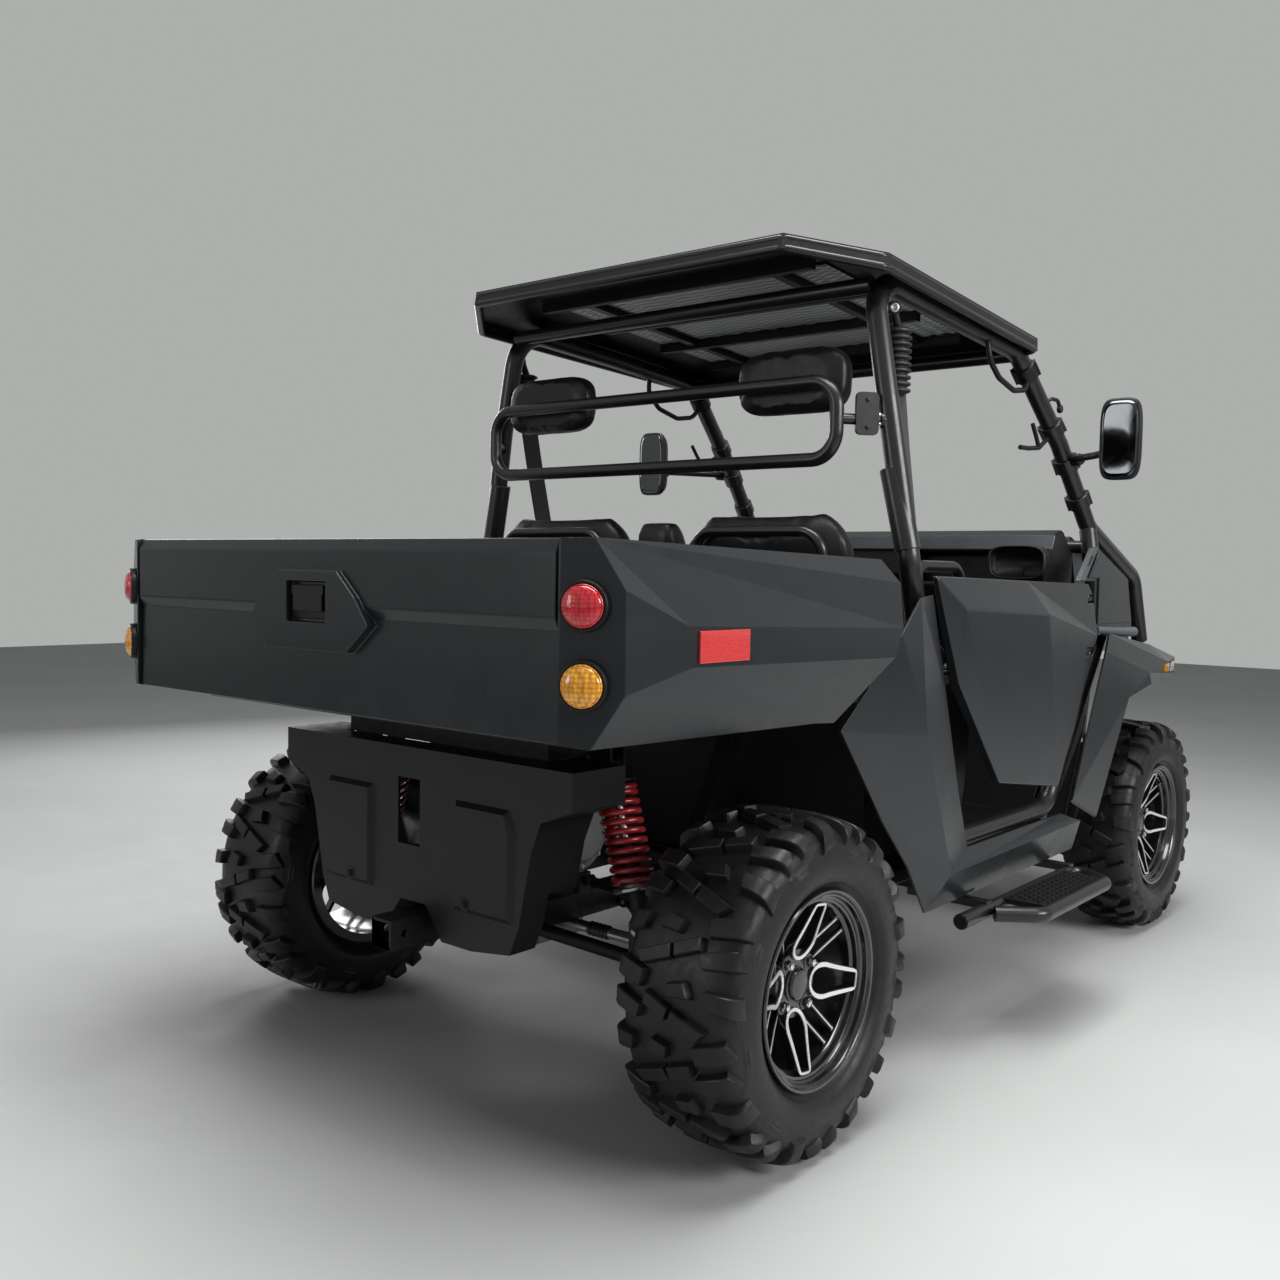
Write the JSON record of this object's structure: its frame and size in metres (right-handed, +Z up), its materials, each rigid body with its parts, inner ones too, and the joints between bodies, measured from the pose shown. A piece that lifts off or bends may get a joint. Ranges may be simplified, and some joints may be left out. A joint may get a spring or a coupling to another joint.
{
  "type": "side-by-side utility vehicle",
  "caption": "Side-by-side utility vehicle with open tube cage, roof, half doors, tilting load bed with tailgate and rolling, steered wheels.",
  "frame": {"origin": "on the ground, under the middle of the vehicle's box", "axes": "+X forward, +Y to the vehicle's left, +Z up"},
  "size_m": [3.069, 1.793, 1.84],
  "materials": {
    "body_panel": "satin charcoal paint on moulded panels",
    "cage_black": "satin black powder coat",
    "frame_black": "matte black paint",
    "moulded_black": "black moulded plastic with a fine grain",
    "seat_black": "black vinyl seat cover",
    "tyre": "black tyre rubber",
    "rim_gloss": "gloss black with machined bright edges",
    "spring_red": "red powder coat",
    "steel": "zinc-plated and turned steel",
    "motor_grey": "cast aluminium housing",
    "battery_grey": "painted steel case",
    "lens_red": "red lens",
    "lens_amber": "amber lens",
    "lens_clear": "clear lens",
    "webbing": "black woven webbing and rubber bellows",
    "wheel_grip": "soft black grip"
  },
  "bodies": {
    "chassis": {"battery_box": "battery_grey", "bed_rails": "frame_black", "cage": "cage_black", "chassis_frame": "frame_black", "dash_panel": "moulded_black", "drive_motor": "motor_grey", "floor_pan": "moulded_black", "front_bumper": "cage_black", "front_fender_left": "body_panel", "front_fender_right": "body_panel", "front_frame": "frame_black", "headlamps": "lens_clear", "hitch_receiver": "frame_black", "hood": "body_panel", "marker_lamps": "lens_amber", "mirrors": "moulded_black", "rear_cover": "moulded_black", "rear_frame": "frame_black", "rear_guard": "cage_black", "rear_hubs": "steel", "roof_panel": "moulded_black", "seat_backs": "seat_black", "seat_base": "moulded_black", "seat_belts": "webbing", "seat_cushions": "seat_black", "seat_tubes": "cage_black", "shocks": "steel", "side_panel_left": "body_panel", "side_panel_right": "body_panel", "side_steps": "cage_black", "springs": "spring_red", "steering_column": "steel", "suspension_arms": "frame_black"},
    "bed": {"bed_tub": "frame_black", "bed_side_left": "body_panel", "bed_side_right": "body_panel", "tail_lamps_red": "lens_red", "tail_lamps_amber": "lens_amber"},
    "tailgate": {"tailgate": "body_panel", "tailgate_latch": "moulded_black"},
    "door_left": {"door_left": "body_panel"},
    "door_right": {"door_right": "body_panel"},
    "steering_wheel": {"steering_wheel": "wheel_grip"},
    "knuckle_left": {"knuckle_left": "steel"},
    "knuckle_right": {"knuckle_right": "steel"},
    "wheel_front_left": {"tyre_front_left": "tyre", "rim_front_left": "rim_gloss"},
    "wheel_front_right": {"tyre_front_right": "tyre", "rim_front_right": "rim_gloss"},
    "wheel_rear_left": {"tyre_rear_left": "tyre", "rim_rear_left": "rim_gloss"},
    "wheel_rear_right": {"tyre_rear_right": "tyre", "rim_rear_right": "rim_gloss"}
  },
  "joints": [
    {"name": "steer_left", "type": "hinge", "parent": "chassis", "child": "knuckle_left", "pos_m": [1.14, 0.545, 0.327], "axis": [0, 0, 1], "range_deg": [-30, 30]},
    {"name": "wheel_front_left_spin", "type": "hinge", "parent": "knuckle_left", "child": "wheel_front_left", "pos_m": [1.14, 0.6485, 0.327], "axis": [0, 1, 0], "continuous": true},
    {"name": "wheel_rear_left_spin", "type": "hinge", "parent": "chassis", "child": "wheel_rear_left", "pos_m": [-0.94, 0.672, 0.327], "axis": [0, 1, 0], "continuous": true},
    {"name": "door_left_hinge", "type": "hinge", "parent": "chassis", "child": "door_left", "pos_m": [0.53, 0.717, 0.95], "axis": [0, 0, -1], "range_deg": [0, 70]},
    {"name": "steer_right", "type": "hinge", "parent": "chassis", "child": "knuckle_right", "pos_m": [1.14, -0.545, 0.327], "axis": [0, 0, 1], "range_deg": [-30, 30]},
    {"name": "wheel_front_right_spin", "type": "hinge", "parent": "knuckle_right", "child": "wheel_front_right", "pos_m": [1.14, -0.6485, 0.327], "axis": [0, 1, 0], "continuous": true},
    {"name": "wheel_rear_right_spin", "type": "hinge", "parent": "chassis", "child": "wheel_rear_right", "pos_m": [-0.94, -0.672, 0.327], "axis": [0, 1, 0], "continuous": true},
    {"name": "door_right_hinge", "type": "hinge", "parent": "chassis", "child": "door_right", "pos_m": [0.53, -0.717, 0.95], "axis": [0, 0, 1], "range_deg": [0, 70]},
    {"name": "steering_turn", "type": "hinge", "parent": "chassis", "child": "steering_wheel", "pos_m": [0.24, 0.33, 1.12], "axis": [-0.8988, 0, 0.4384], "range_deg": [-270, 270]},
    {"name": "bed_tilt", "type": "hinge", "parent": "chassis", "child": "bed", "pos_m": [-1.165, 0, 0.795], "axis": [0, -1, 0], "range_deg": [0, 38]},
    {"name": "tailgate_hinge", "type": "hinge", "parent": "bed", "child": "tailgate", "pos_m": [-1.505, 0, 0.85], "axis": [0, -1, 0], "range_deg": [0, 90]}
  ],
  "couplings": [
    {"joint": "steer_right", "follows": "steer_left", "ratio": 1},
    {"joint": "steering_turn", "follows": "steer_left", "ratio": 9}
  ]
}
